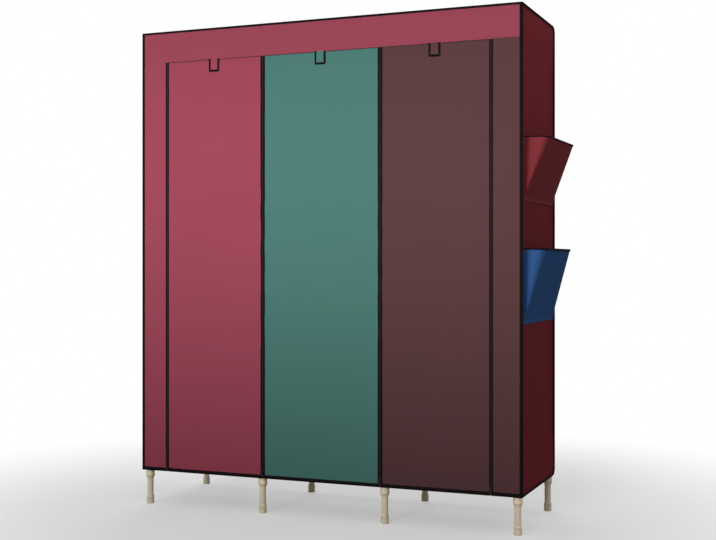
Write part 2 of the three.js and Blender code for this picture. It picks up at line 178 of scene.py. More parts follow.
def woven(name, colour, pitch=1.2 * mm, spread=0.05, sheen=0.08):
    """Plain weave: height = sin(2 pi u / pitch) * sin(2 pi v / pitch). The sheen has the cloth's own colour."""
    material, tree, shader = start_material(name, 0.9, Sheen_Weight=sheen, Sheen_Roughness=0.4,
                                            Sheen_Tint=linear(*colour), Specular_IOR_Level=0.03)
    place = add_node(tree, "TexCoord")
    threads = add_node(tree, "SeparateXYZ", {0: place.outputs["UV"]})
    turns = [maths(tree, "MULTIPLY", threads.outputs[i], 2 * pi / pitch) for i in (0, 1)]
    weave = maths(tree, "MULTIPLY", *[maths(tree, "SINE", turn) for turn in turns])
    drift = noise(tree, place.outputs["Object"], 2.2, 3.0)
    slub = noise(tree, place.outputs["UV"], 420.0, 2.0)
    tone = maths(tree, "ADD", maths(tree, "MULTIPLY", drift, 0.75), maths(tree, "MULTIPLY", slub, 0.25))
    height = maths(tree, "ADD", weave, maths(tree, "MULTIPLY", slub, 1.5))
    add_surface(tree, shader, shade_range(tree, tone, colour, spread), 0.35, 0.12 * mm, height)
    return material


# The sides and back take a redder burgundy, darkened as well to paint part of the shade on them.
cloth_colours = {"burgundy_cloth": (153, 70, 86), "green_cloth": (76, 121, 113), "wine_brown_cloth": (91, 61, 63),
                 "dark_burgundy_cloth": (115, 39, 44), "red_pocket_cloth": (125, 50, 54),
                 "blue_pocket_cloth": (51, 88, 139), "shelf_cloth": (70, 48, 52)}
cloths = {name: woven(name, colour) for name, colour in cloth_colours.items()}
cloths["black_binding"] = woven("black_binding", (27, 21, 23), pitch=0.9 * mm, spread=0.2, sheen=0.03)
print(len(cloths), "cloth finishes")

# %% [markdown]
# ## Coated steel, moulded plastic and thread
# The tubes are steel with a cream powder coat, which dries with a faint orange peel. The feet
# and connectors are moulded plastic of nearly the same colour, a little yellower. The zip
# sliders are cast metal with black enamel. These patterns need no direction, so they read Object
# coordinates.

# %% Hard finishes


def coated(name, colour, roughness, grain, depth, spread=0.04, **constants):
    """Noise of one grain size gives the fine bump, and a broad noise the slight drift in colour."""
    material, tree, shader = start_material(name, roughness, **constants)
    place = add_node(tree, "TexCoord").outputs["Object"]
    base = shade_range(tree, noise(tree, place, 14.0, 3.0), colour, spread)
    add_surface(tree, shader, base, 0.3, depth, noise(tree, place, 1 / grain, 2.0))
    return material


tube_coat = coated("cream_powder_coat", (250, 232, 203), 0.42, 1.6 * mm, 0.05 * mm)
moulding = coated("cream_plastic", (250, 235, 198), 0.5, 0.8 * mm, 0.04 * mm)
enamel = coated("zip_enamel", (22, 19, 21), 0.5, 0.5 * mm, 0.03 * mm, spread=0.15, Specular_IOR_Level=0.2)
coil_nylon = coated("zip_nylon", (24, 19, 21), 0.6, 0.6 * mm, 0.05 * mm, spread=0.15, Specular_IOR_Level=0.2)
black_thread = coated("black_thread", (24, 20, 22), 0.8, 0.3 * mm, 0.05 * mm, spread=0.2)
# The seam thread is darker than the cloth, so that it also paints the shadow under the header's lap.
seam_thread_and_painted_shadow = coated("seam_thread_and_painted_shadow", (66, 23, 32), 0.8, 0.3 * mm, 0.05 * mm, spread=0.1)

# %% [markdown]
# ## From numbers to a mesh
# Every surface is a grid of points, a function of two parameters. Each point is joined to its
# next along both, and the grid may close on itself like a tube. The distance along the grid,
# in metres, becomes the UV map that the weave reads.

# %% Grids and pieces


def together(*parts):
    """Points from their coordinates, each a number or an array that is spread over the others."""
    return np.stack(np.broadcast_arrays(*parts), axis=-1)


def grid_faces(rows, columns, close_rows=False, close_columns=False):
    """Quads between neighbours of a grid of points, which are numbered row by row."""
    r = np.arange(rows if close_rows else rows - 1)[:, None]
    c = np.arange(columns if close_columns else columns - 1)[None, :]
    r2, c2 = (r + 1) % rows, (c + 1) % columns
    return together(r * columns + c, r2 * columns + c, r2 * columns + c2, r * columns + c2).reshape(-1, 4)


def grid_lengths(points):
    """Distance along the rows and along the columns of a grid, averaged, as its UV."""
    steps = [np.linalg.norm(np.diff(points, axis=axis), axis=2).mean(1 - axis) for axis in (0, 1)]
    u, v = [np.append(0, np.cumsum(step)) for step in steps]
    return together(u[:, None], v).reshape(-1, 2)


def join_grids(grids):
    """Several (points, faces) as one, where the faces of each count on from the points before it."""
    points = [points.reshape(-1, 3) for points, _ in grids]
    before = np.cumsum([0] + [len(each) for each in points])
    return np.concatenate(points), np.concatenate([faces + count for (_, faces), count in zip(grids, before)])


def make_piece(name, points, faces, finish, body="root", stands_for=(), slot=None, uv=None, closed=True, sharp=38):
    """One object at the origin with its place in its points. Closed shapes are welded and their faces turned out."""
    mesh = bpy.data.meshes.new(name)
    mesh.from_pydata(points.reshape(-1, 3).tolist(), [], faces.tolist())
    if uv is not None:
        corners = np.empty(len(mesh.loops), np.int32)
        mesh.loops.foreach_get("vertex_index", corners)
        mesh.uv_layers.new(name="cloth").data.foreach_set("uv", uv[corners].astype(np.float32).ravel())
    if closed:
        work = bmesh.new()
        work.from_mesh(mesh)
        bmesh.ops.remove_doubles(work, verts=work.verts, dist=1e-6)
        bmesh.ops.recalc_face_normals(work, faces=work.faces)
        work.to_mesh(mesh)
        work.free()
    mesh.shade_smooth()
    mesh.set_sharp_from_angle(angle=math.radians(sharp))
    mesh.materials.append(finish)
    piece = bpy.data.objects.new(name, mesh)
    bpy.context.collection.objects.link(piece)
    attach(piece, body)
    if stands_for:
        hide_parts(*stands_for)
    return piece


# %% [markdown]
# ## Round parts
# A tube, a foot or a connector is a profile turned round a straight axis, as on a lathe. The
# profile closes on itself, so a wall has its inner face too, and a solid end starts and ends on
# the axis.

# %% Turning a profile
TUBE, WALL, RIM = 11 * mm, 0.8 * mm, 0.4 * mm


def unit(vectors):
    """Each vector divided by its length."""
    return vectors / np.linalg.norm(vectors, axis=-1, keepdims=True)


def around(t):
    """(cos t, sin t) for each t."""
    return together(np.cos(t), np.sin(t))


def turned(profile, base, axis, sides=32):
    """point = base + along * axis + radius * (cos t * side + sin t * aside), for each (radius, along)."""
    radius, along = np.array(profile, float).T
    side = unit(np.cross(axis, [0.31, 0.52, 0.8]))
    aside = np.cross(axis, side)
    t = np.linspace(0, 2 * pi, sides, endpoint=False)[None, :, None]
    ring = np.cos(t) * side + np.sin(t) * aside
    points = base + along[:, None, None] * axis + radius[:, None, None] * ring
    return points, grid_faces(len(profile), sides, close_rows=True, close_columns=True)


def steel_tube(name, start, end, node):
    """A coated tube with a small round on its outer rims, in place of a solid."""
    length = np.linalg.norm(end - start)
    half = [(TUBE - WALL, 0), (TUBE - RIM, 0), (TUBE, RIM)]
    profile = half + [(radius, length - along) for radius, along in half[::-1]]
    points, faces = turned(profile, start, unit(end - start))
    make_piece(name, points, faces, tube_coat, stands_for=[node], slot="beige_tube")


def moulded(name, grids, node):
    """A moulding made of one or more turned shapes, in place of a solid."""
    make_piece(name, *join_grids(grids), moulding, stands_for=[node], slot="beige_moulding")


# %% [markdown]
# ## Posts and feet
# Eight posts carry the wardrobe. Each is one tube, and it stands in a moulded cap that keeps the
# steel off the floor. The cap has a bead at its mouth and a rounded foot.

# %% Posts and foot caps
columns = ["left", "centre_left", "centre_right", "right"]
rows = {"front": inward, "back": -inward}
foot_profile = np.array([(0, 0), (11.6, 0), (12.9, 0.6), (13.5, 2), (13.5, 4), (13.1, 8), (12.8, 22), (13.4, 23),
                         (13.6, 24.6), (13.4, 26.4), (12.6, 27.5), (11.3, 27.5), (11.3, 3), (0, 3)]) * mm
for row in rows:
    for column in columns:
        name = f"{row}_{column}"
        low, high = span(f"post_{name}")
        place = centre(f"post_{name}") * [1, 1, 0]
        steel_tube(f"{name}_post", place + low[2] * upright, place + high[2] * upright, f"post_{name}")
        moulded(f"{name}_foot", [turned(foot_profile, place, upright)], f"foot_cap_{name}")
print("8 posts on 8 feet")

# %% [markdown]
# ## Connectors
# Moulded connectors join the tubes at each post: one arm for every tube that meets there. Under
# the hem the sleeve ends in a cup with a bead round it, and at the top it is closed by a dome.
# Each arm starts inside the wall of the sleeve, and a thicker collar marks its mouth.

# %% Base and top connectors
BORE, SHELL, REACH, LID = 11.4 * mm, 14.9 * mm, 34 * mm, 15 * mm
TUBE_START = 12.8 * mm
arm_profile = np.array([(11.4, 12.6), (14.8, 12.6), (14.8, 27.5), (15.7, 28.3), (16, 30), (16, 32.4),
                        (15.4, 34), (11.4, 34)]) * mm
cup_profile = np.array([(11.4, 92), (12.2, 92), (12.6, 93), (14.2, 98.5), (15.5, 100), (16.1, 102), (16.1, 104),
                        (15.5, 105.8), (14.9, 106.8), (14.9, 160.5), (14, 163), (11.4, 163)]) * mm
collar = np.array([(11.4, -30), (15.4, -30), (15.9, -28.5), (15.9, -26), (14.9, -24.6)]) * mm
lid = np.linspace(0, pi / 2, 7)[:-1]
dome_profile = [*collar, *SHELL * around(lid), (0, SHELL), (0, 7 * mm), (BORE, 7 * mm)]
sleeves = {"base": cup_profile, "top": dome_profile}
ring_heights = {"base": centre("base_cross_rail_left")[2], "top": span("top_rail_front")[1][2] - LID}

for ring, height in ring_heights.items():
    for row, into in rows.items():
        node = f"{ring}_rail_{row}"
        posts = [centre(f"post_{row}_{column}") * [1, 1, 0] for column in columns]
        for i, (column, post) in enumerate(zip(columns, posts)):
            at = post + height * upright
            sleeve = turned(sleeves[ring], post if ring == "base" else at, upright, 40)
            arms = [into] + [across] * (i < 3) + [-across] * (i > 0)
            grids = [sleeve] + [turned(arm_profile, at, way) for way in arms]
            moulded(f"{ring}_connector_{row}_{column}", grids, node)
            if i < 3:
                inset = TUBE_START * across
                steel_tube(f"{ring}_tube_{row}_{i + 1}", at + inset, posts[i + 1] + height * upright - inset, node)
print("16 connectors and 12 long tubes")

# %% [markdown]
# ## Cross rails and hanging rails
# Tubes run from front to back at each pair of posts. The upper ones wear a moulded hanger whose
# socket, one fist below, takes the end of a hanging rail.

# %% Cross rails, hangers and hanging rails
SOCKET_DROP = 30 * mm
socket_profile = np.array([(0, -15), (12, -15), (14.9, -12), (14.9, 17), (15.8, 18), (15.8, 21), (15.2, 22),
                           (11.4, 22), (11.4, -8), (0, -8)]) * mm
grip_profile = np.array([(11.2, -18), (14.2, -18), (15, -17), (15, 17), (14.2, 18), (11.2, 18)]) * mm
neck_profile = np.array([(0, 0), (9, 0), (9, 30), (0, 30)]) * mm
for column, bay_side in zip(columns, (across, -across, across, -across)):
    for ring, height in ring_heights.items():
        node = f"{ring}_cross_rail_{column}"
        low, high = span(node)
        at = np.array([centre(f"base_cross_rail_{column}")[0], 0, height])
        steel_tube(f"{ring}_cross_tube_{column}", at + low[1] * inward, at + high[1] * inward, node)
    socket = at - SOCKET_DROP * upright
    hanger = [turned(grip_profile, at, inward), turned(neck_profile, socket, upright),
              turned(socket_profile, socket, bay_side)]
    moulded(f"rail_hanger_{column}", hanger, f"top_cross_rail_{column}")
for bay in ("left", "right"):
    low, high = span(f"hanging_rail_{bay}")
    place = centre(f"hanging_rail_{bay}") * [0, 1, 1]
    steel_tube(f"{bay}_hanging_tube", place + low[0] * across, place + high[0] * across, f"hanging_rail_{bay}")
print("8 cross tubes, 4 hangers and 2 hanging rails")

# %% [markdown]
# ## Cloth
# A sheet of cloth is an open grid with its outer face where the solid's outer face is. Solidify
# gives it its thickness towards the inside.

# %% Sheets of cloth
CLOTH, SEAM, MARGIN = 1.3 * mm, 15 * mm, 0.4 * mm


def add_thickness(piece, thickness):
    """Solidify, from the outer face inwards."""
    solid = piece.modifiers.new("thickness", "SOLIDIFY")
    solid.thickness, solid.offset, solid.use_even_offset = thickness, -1, True


def with_margins(points):
    """One more line, MARGIN inside each edge of the grid, so that the shading of the cut edge stays within it."""
    for axis in (0, 1):
        lines = np.swapaxes(points, 0, axis)
        way = lines[[1, -2]] - lines[[0, -1]]
        length = np.linalg.norm(way, axis=-1, keepdims=True)
        near = lines[[0, -1]] + way * MARGIN / np.maximum(length, 4 * MARGIN)
        lines = np.concatenate([lines[:1], near[:1], lines[1:-1], near[1:], lines[-1:]])
        points = np.swapaxes(lines, 0, axis)
    return points


def sheet(name, points, finish, stands_for, body="root"):
    """The outer face of the grid is the side that rows x columns points to."""
    points = with_margins(points)
    uv = grid_lengths(points)
    piece = make_piece(name, points, grid_faces(*points.shape[:2]), cloths[finish], body, [stands_for], finish, uv,
                       closed=False)
    add_thickness(piece, CLOTH)
    return piece


def plane(start, end, rows, columns):
    """A flat grid, start + share * (end - start). X goes by the row's share u, and Y and Z by the column's
    share v. Columns are a count, or the shares themselves."""
    u = np.linspace(0, 1, rows)[:, None]
    v = np.linspace(0, 1, columns)[None, :] if np.isscalar(columns) else columns[None, :]
    x, y, z = [a + share * (b - a) for a, b, share in zip(start, end, (u, v, v))]
    return together(x, y, z), u, v


# %% [markdown]
# ## Binding, piping and seams
# A bound corner is a bead that stands a little proud of both panels, and a bound edge is a flat
# loop round the cloth. Both are one closed profile carried along a path, which a curve's bevel
# could do too, but arrays give the UV and a swelling width with it.

# %% Carrying a profile along a path


def carried(profile, path, out, closed=False, swell=1.0):
    """point = path + a * out + swell * b * (tangent x out), for each (a, b) of a closed profile. The ends of
    an open path are capped at the middle of the profile."""
    out = np.broadcast_to(out, path.shape)
    tangent = np.roll(path, -1, 0) - np.roll(path, 1, 0) if closed else np.gradient(path, axis=0)
    side = np.cross(unit(tangent), out) * np.broadcast_to(swell, len(path))[:, None]
    a, b = profile.T[..., None]
    points = path[:, None] + a * out[:, None] + b * side[:, None]
    if not closed:
        ends = [np.broadcast_to(points[i].mean(0), points[i].shape)[None] for i in (0, -1)]
        points = np.concatenate([ends[0], points, ends[1]])
    return points, grid_faces(len(points), len(profile), close_rows=closed, close_columns=True)


def bead(radius, sides):
    """A circle: radius * (cos t, sin t)."""
    return radius * around(np.linspace(0, 2 * pi, sides, endpoint=False))


def flat_loop(thick, wide):
    """A rounded oblong: a superellipse with exponent 5, thick across the cloth and wide along it."""
    ring = bead(1, 16)
    return np.sign(ring) * abs(ring) ** 0.4 * [thick / 2, wide / 2]


def trim(name, profile, path, out, finish=cloths["black_binding"], slot="black_binding", body="root",
         stands_for=(), closed=False, swell=1.0):
    """A piece of tape, binding or hem, as one profile carried along a path."""
    points, faces = carried(profile, path, out, closed, swell)
    make_piece(name, points, faces, finish, body, stands_for, slot, grid_lengths(points), sharp=60)


def crosswise(ends, y, z, count=2):
    """Evenly spaced points along X, from one end to the other, at y and z."""
    return together(np.linspace(*ends, count), y, z)


# %% [markdown]
# ## Stitches
# A row of stitches is one small shape, repeated. Each stitch is a stretched octahedron, two tips
# along the seam and four points round its waist, half sunk in the cloth. A path is first cut
# into equal steps by its own length.

# %% Rows of stitches


def even_steps(path, pitch):
    """Places and directions every `pitch` along a path, by interpolating on its length."""
    lengths = np.append(0, np.cumsum(np.linalg.norm(np.diff(path, axis=0), axis=1)))
    where = np.arange(pitch / 2, lengths[-1], pitch)
    place, ahead, behind = [together(*[np.interp(where + step, lengths, each) for each in path.T])
                            for step in (0, 0.1 * mm, -0.1 * mm)]
    return place, unit(ahead - behind)


def stitches(name, runs, body="root", pitch=4.5 * mm, tips=1.6 * mm, waist=0.4 * mm):
    """Runs are (path, outward) pairs. One object holds all their stitches."""
    found = []
    for path, out in runs:
        place, way = even_steps(path, pitch)
        out = np.broadcast_to(out, place.shape)
        side = np.cross(way, out)
        shape = [way * tips, side * waist, out * waist, -side * waist, -out * waist, -way * tips]
        found.append(np.stack([place + offset for offset in shape], axis=1))
    points = np.concatenate(found)
    octahedron = np.array([[0, 1, 2], [0, 2, 3], [0, 3, 4], [0, 4, 1], [5, 2, 1], [5, 3, 2], [5, 4, 3], [5, 1, 4]])
    faces = (np.arange(len(points)) * 6)[:, None, None] + octahedron
    return make_piece(name, points, faces.reshape(-1, 3), black_thread, body, closed=False, sharp=80)


# %% [markdown]
# ## The front's fixed cloth
# The header band runs right across the front. The left stile is cut from the same burgundy
# cloth in one with it, and the right stile is wine brown and is sewn under the header's edge.
# The cloth is pulled flat over the frame, with a slack of well under a millimetre between seams.

# %% Header and stiles
BROW = 5 * mm
TUCK, TUCK_DEPTH = 8 * mm, 0.7 * mm
turn = np.linspace(0, pi / 2, 9)


def slack(u, v, depth, waves):
    """Gentle unevenness: zero on the rim, and two slow sines inside it."""
    rim = np.sin(pi * np.clip(u, 0, 1)) * np.sin(pi * np.clip(v, 0, 1))
    return depth * rim * (0.6 + 0.4 * np.sin(2 * pi * (waves[0] * u + waves[1] * v)))


points, u, v = plane((left, front, header_edge), (right, front, top - BROW), 120, 12)
points[..., 1] -= slack(u, v, 0.5 * mm, (3, 0.5))
brow = BROW * ((1 - np.cos(turn[1:]))[:, None] * inward + np.sin(turn[1:])[:, None] * upright)
points = np.concatenate([points, points[:, -1:] + brow], axis=1)
sheet("header_cloth", points, "burgundy_cloth", "header")
for side, finish in (("left", "burgundy_cloth"), ("right", "wine_brown_cloth")):
    low, high = span(f"{side}_stile")
    shares = np.append(np.linspace(0, 0.994, 120), 1)
    points, u, v = plane((low[0], front, hem_edge), (high[0], front, header_edge + TUCK), 12, shares)
    behind = np.clip((points[..., 2] - header_edge) / (2 * mm) + 0.5, 0, 1)
    points[..., 1] += TUCK_DEPTH * behind - slack(u, v, 0.5 * mm, (0.5, 2))
    sheet(f"{side}_stile_cloth", points, finish, f"{side}_stile")

# %% [markdown]
# ## Roof
# The roof is one cloth from side to side and sags a few millimetres between the tubes that
# carry it. A flat grid would do, but the light on it shows the sag, so a sine lowers each bay.

# %% Roof
roof_back, POST_IN = span("top_panel")[1][1], 17 * mm
points, u, v = plane((left, front + BROW, top), (right, roof_back, top), 121, 31)
from_post = (points[..., 0] - left - POST_IN) / (right - left - 2 * POST_IN)
bays = np.abs(np.sin(3 * pi * np.clip(from_post, 0, 1)))
points[..., 2] -= 3.5 * mm * bays ** 0.8 * np.sin(pi * v) ** 0.7
sheet("roof_cloth", points, "burgundy_cloth", "top_panel")

# %% [markdown]
# ## Back
# The back turns forward at the top and bottom round the 26 mm corners, and its lower edge is cut
# out round the four legs. It could be cut with a boolean, but a grid whose lowest row stops early
# near a leg keeps the weave in order and the edge smooth.

# %% Back
NOTCH, NOTCH_DEPTH = 17.2 * mm, 19 * mm
arc = around(turn)[::-1, ::-1] * corner
post_y, post_x = centre("post_back_left")[1], np.array([centre(f"post_back_{column}")[0] for column in columns])
near_posts = (post_x[:, None] + np.linspace(-20, 20, 21) * mm).ravel()
xs = np.unique(np.clip(np.concatenate([np.linspace(left, right, 100), near_posts]), left, right))[::-1]
off = np.abs(xs[:, None] - post_x[None, :]).min(1)
notch_y = back - corner + (post_y + NOTCH_DEPTH - back + corner) * np.clip(1 - (off / NOTCH) ** 2, 0, 1) ** 0.5
first = np.arccos((notch_y - back + corner) / corner)
swing = first[:, None] * np.linspace(1, 0, 9)
lower = together(xs[:, None], back - corner + corner * np.cos(swing), hem_edge + corner - corner * np.sin(swing))
flat = together(xs[:, None], back, np.linspace(hem_edge + corner, top - corner, 60)[1:-1])
upper = together(xs[:, None], *(arc + [back - corner, top - corner]).T)
points = np.concatenate([lower, flat, upper], axis=1)
u, v = ((right - xs) / (right - left))[:, None], (points[0, :, 2] - hem_edge)[None, :] / (top - hem_edge)
points[..., 1] -= slack(u, v, 1.2 * mm, (3, 1))
sheet("back_cloth", points, "dark_burgundy_cloth", "back_panel")
back_edge = points[:, 0]
edge_out = together(0, np.cos(first), -np.sin(first))
print("the back is notched round", len(post_x), "legs")

# %% [markdown]
# ## Sides
# Each side panel is a grid whose rows shorten where the rear corners are rounded, so that its
# outline needs no cutting. The cloth lies up to 3 mm inside its corded edge, which gives the
# shadow along the cord.

# %% Sides


def drawn_in(from_edge, height):
    """How far a side lies inside its bound edges: 3 mm * (share of the first 14 mm) ** 0.8, fading at top and hem."""
    ends = np.clip((np.minimum(height - hem_edge, top - height) - 70 * mm) / (90 * mm), 0, 1)
    return 3 * mm * (np.clip(from_edge / (14 * mm), 0, 1) * ends) ** 0.8


rise, straight = 1 - np.cos(turn), np.linspace(hem_edge + corner, top - corner, 90)[1:-1]
heights = np.unique(np.concatenate([hem_edge + corner * rise, straight, top - corner * rise, top - BROW * rise]))
past = np.clip(np.maximum(hem_edge + corner - heights, heights - top + corner), 0, corner)
rear = back - corner + np.sqrt(corner**2 - past**2)
fore = front + BROW - np.sqrt(BROW**2 - np.clip(heights - top + BROW, 0, BROW) ** 2)
u = np.unique(np.concatenate([np.linspace(0, 0.04, 7), np.linspace(0, 1, 40), np.linspace(0.96, 1, 7)]))[:, None]
v = np.linspace(0, 1, len(heights))[None, :]
depth = fore + u * (rear - fore)
for side, x, way in (("left", left, -1), ("right", right, 1)):
    y = depth[::way]
    inside = drawn_in(np.minimum(y - fore, rear - y), heights) + slack(u, v, 0.4 * mm, (0.5, 1.5))
    points = together(x - way * inside, y, heights)
    # The side cloth's darker colour paints part of the shade on the side.
    sheet(f"{side}_side_cloth", points, "dark_burgundy_cloth", f"{side}_side_panel")

# %% [markdown]
# ## Black tape
# The cover's edges are bound with black tape. Two profiles are made for it: one is folded over a
# cord, so it stands proud of the side while a strip of it lies on the panel next to it, and a
# flatter one is folded over an edge. Points listed in order are enough for both.

# %% Folded tape
TAPE, CORD = 0.8 * mm, 4.2 * mm


def corded(cover, proud, mirror):
    """A strip along the first face, then round a cord that stands proud of the second, and back inside the cloth."""
    arc = [proud - CORD, TAPE - CORD] + CORD * around(np.radians(np.linspace(78, -80, 10)))
    strip = [(-cover, -1.5 * mm), (-cover, 0.4 * TAPE), (0.5 * mm - cover, TAPE)]
    inside = [(-1.5 * mm, arc[-1][1]), (-1.5 * mm, -1.5 * mm)]
    return np.concatenate([strip, arc, inside]) * [mirror, 1]


def folded(on_first, on_second, turn_radius):
    """Down one face and along the other, with an arc between; then back again, a little inside the cloth."""
    ring = around(np.linspace(0, pi / 2, 7))[:, ::-1]
    outer = ring * (turn_radius + TAPE) - turn_radius
    inner = (ring * (turn_radius - 1.2 * mm) - turn_radius)[::-1]
    start = [(-on_second, -1.2 * mm), (-on_second, 0.4 * TAPE), (0.5 * mm - on_second, TAPE)]
    end = [(TAPE, 0.5 * mm - on_first), (0.4 * TAPE, -on_first), (-1.2 * mm, -on_first)]
    return np.concatenate([start, outer, end, inner])


def rounded_loop(low, high, radii):
    """A rectangle in Y and Z with rounded corners, from the lower front and anticlockwise as seen from +X."""
    found = []
    for i, (inside, radius) in enumerate(zip(np.array([(1, 1), (-1, 1), (-1, -1), (1, -1)]), radii)):
        middle_of_arc = np.where(inside > 0, low, high) + inside * radius
        found.append(middle_of_arc + radius * around((i - 2) * pi / 2 + turn))
    return np.concatenate(found)


# %% [markdown]
# ## Binding on the cover's edges
# Each side panel is bound all round. A curve object with a bevel could draw this, but here the
# profile is carried round a closed loop with rounded corners, because the loop can then come
# straight from the sizes of the cover. The flatter tape runs along the front edge of the roof.

# %% Bound edges
HEM_HIGH, HEM_DROP, LONG_RUN = 13 * mm, 2.5 * mm, 100 * mm
loop = rounded_loop((front, hem_edge), (back, top), (2.5 * mm, corner, corner, BROW))
loop[:, 1] -= HEM_DROP * np.clip(1 - (loop[:, 1] - hem_edge) / corner, 0, 1) * (back - loop[:, 0]) / (back - front)
for side, x, hand, cover, proud in (("left", left, -1, 6 * mm, 6 * mm), ("right", right, 1, 6.5 * mm, 4.5 * mm)):
    path = together(x, *loop.T)
    following = np.roll(path, -1, 0)
    steps = np.where(np.linalg.norm(following - path, axis=1) > LONG_RUN, 40, 1)
    path = np.concatenate([np.linspace(*run, endpoint=False) for run in zip(path, following, steps)])
    trim(f"{side}_side_binding", corded(cover, proud, hand), path, across, closed=True)
path = crosswise((right - 5 * mm, left + 5 * mm), front, top, 60)
trim("front_top_binding", folded(8 * mm, 9 * mm, BROW), path, -inward)

# %% [markdown]
# ## Hems
# The hem of a stile or of the back is the cloth's edge wrapped in tape: a flat loop round it.
# The back's hem follows the notches, so its path is the lowest row of the back's own grid.

# %% Hems of the fixed cloth
hem_middle = hem_edge - HEM_DROP + HEM_HIGH / 2
for side, ends in (("left", (left + 3 * mm, span("left_stile")[1][0])),
                   ("right", (span("right_stile")[0][0], right - 3 * mm))):
    path = crosswise(ends, front + 0.9 * mm, hem_middle, 12)
    trim(f"{side}_stile_hem", flat_loop(3.6 * mm, HEM_HIGH), path, -inward)
inner = np.abs(back_edge[:, 0] - middle) < right - middle - 4 * mm
trim("back_hem", flat_loop(2.6 * mm, 5 * mm), (back_edge - 0.6 * mm * edge_out)[inner], edge_out[inner])

# %% [markdown]
# ## Doors
# Each door is one cloth between two zips. To open it, the zips are run up and the cloth is
# rolled or gathered under the header, so the panel flattens towards its top as its hem rises.
# Slow ripples of half a millimetre are laid into the cloth, invisible while it is taut.

# %% Door cloths
door_foot, door_top = span("left_door_panel")[0][2], span("left_door_panel")[1][2]


def gathers(piece):
    """Gives the piece a mesh of its own."""
    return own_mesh(piece)


doors = {"left_door": "burgundy_cloth", "centre_door": "green_cloth", "right_door": "wine_brown_cloth"}
for number, (door, finish) in enumerate(doors.items()):
    low, high = span(f"{door}_panel")
    points, u, v = plane((low[0], front, door_foot - 4 * mm), (high[0], front, door_top), 60, 260)
    inside = np.sin(pi * u) ** 0.6 * np.clip((1 - v) / 0.05, 0, 1) * np.clip(v / 0.02, 0, 1)  # 0 at the edges
    waves = 9.3 * v + 0.25 * np.sin(2.2 * pi * u + number) + 0.3 * np.sin(9 * v + number)
    points[..., 1] -= inside * (2.2 * mm * np.sin(pi * v) + 0.45 * mm * np.sin(2 * pi * waves))
    edge = np.minimum(u, 1 - u) * (high[0] - low[0])
    points[..., 1] += 0.35 * mm * np.clip(1 - edge / (9 * mm), 0, 1)
    gathers(sheet(f"{door}_cloth", points, finish, f"{door}_panel"))
    low, high = span(f"{door}_hem")
    path = crosswise((low[0], high[0]), front + 1 * mm, hem_middle, 30)
    trim(f"{door}_hem_tape", flat_loop(3.8 * mm, HEM_HIGH), path, -inward, body=door, stands_for=[f"{door}_hem"])

# %% [markdown]
# ## Zips
# A zip is two black tapes that meet behind a row of teeth, which lock into each other. Each tape
# lies on its cloth and steps back behind the teeth. A tooth is a box of eight points, and every
# second one comes from the other side.

# %% Tapes and teeth
# what each zip joins, and the width of its tapes
zips = {"left_zip": ("left_stile", "left_door", 5 * mm), "centre_left_zip": ("left_door", "centre_door", 7 * mm),
        "centre_right_zip": ("centre_door", "right_door", 7 * mm), "right_zip": ("right_door", "right_stile", 5 * mm)}
TOOTH, STEP = 2.6 * mm, 1.7 * mm
box = np.array([(a, b, c) for a in (0, 1) for b in (0, 1) for c in (0, 1)])
box_faces = np.array([[0, 1, 3, 2], [4, 6, 7, 5], [0, 4, 5, 1], [2, 3, 7, 6], [0, 2, 6, 4], [1, 5, 7, 3]])


def teeth(x, way, low, high):
    """Boxes every TOOTH, shifted half a step on one side so that the two rows lock."""
    z = np.arange(low + TOOTH * (0.25 if way > 0 else 0.75), high, TOOTH)
    size = np.array([3.2 * mm * way, 1.7 * mm, TOOTH * 0.42])
    start = together(x - way * 0.7 * mm, front - 0.15 * mm, z - TOOTH * 0.21)
    points = start[:, None] + box * size
    return points, ((np.arange(len(z)) * 8)[:, None, None] + box_faces).reshape(-1, 4)


low_z = hem_edge - HEM_DROP + 0.5 * mm
depth = np.array([1.6, 1.6, -0.25, -0.25]) * mm
for name, (*owners, width) in zips.items():
    x = centre(f"{name}_slider")[0]
    aside = np.array([0.05 * mm, STEP - 0.2 * mm, STEP, STEP + width])
    for owner, way in zip(owners, (-1, 1)):
        height = np.linspace(low_z, door_top, 90)
        points = together(x + way * aside[::way, None], front + depth[::way, None], height)
        tape = make_piece(f"{name}_tape_{owner}", points, grid_faces(4, 90), cloths["black_binding"],
                          slot="black_binding", uv=grid_lengths(points), closed=False)
        add_thickness(tape, 0.6 * mm)
        points, faces = teeth(x, way, low_z + 1 * mm, door_top)
        row = make_piece(f"{name}_teeth_{owner}", points, faces, coil_nylon, slot="black_binding", sharp=30)
        if owner in doors:
            gathers(tape)
            gathers(row)
print("8 tapes with", len(points), "teeth each")

# %% [markdown]
# ## Sliders and pulls
# The sliders and pulls are small castings whose solids already have the right shape, so they
# keep it and only take the black enamel.

# %% Enamel on the castings
for name in zips:
    for part in ("slider", "pull"):
        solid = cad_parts[f"{name}_{part}"]
        solid.data.materials.clear()
        solid.data.materials.append(enamel)

# %% [markdown]
# ## Tie straps
# A short strap hangs from the header's seam over each door, to hold the door when it is rolled
# up. It has the door's own cloth with a narrow black binding on its three free edges.

# %% Straps
UNDER = 1.2 * mm


def hanging_loop(low, high, inset, y):
    """Down one side, across the foot and up the other side, `inset` within the strap's edges, at y."""
    x, foot = (low[0] + inset, high[0] - inset), low[2] + inset
    return np.array([(x[0], y, high[2]), (x[0], y, foot), (x[1], y, foot), (x[1], y, high[2])])


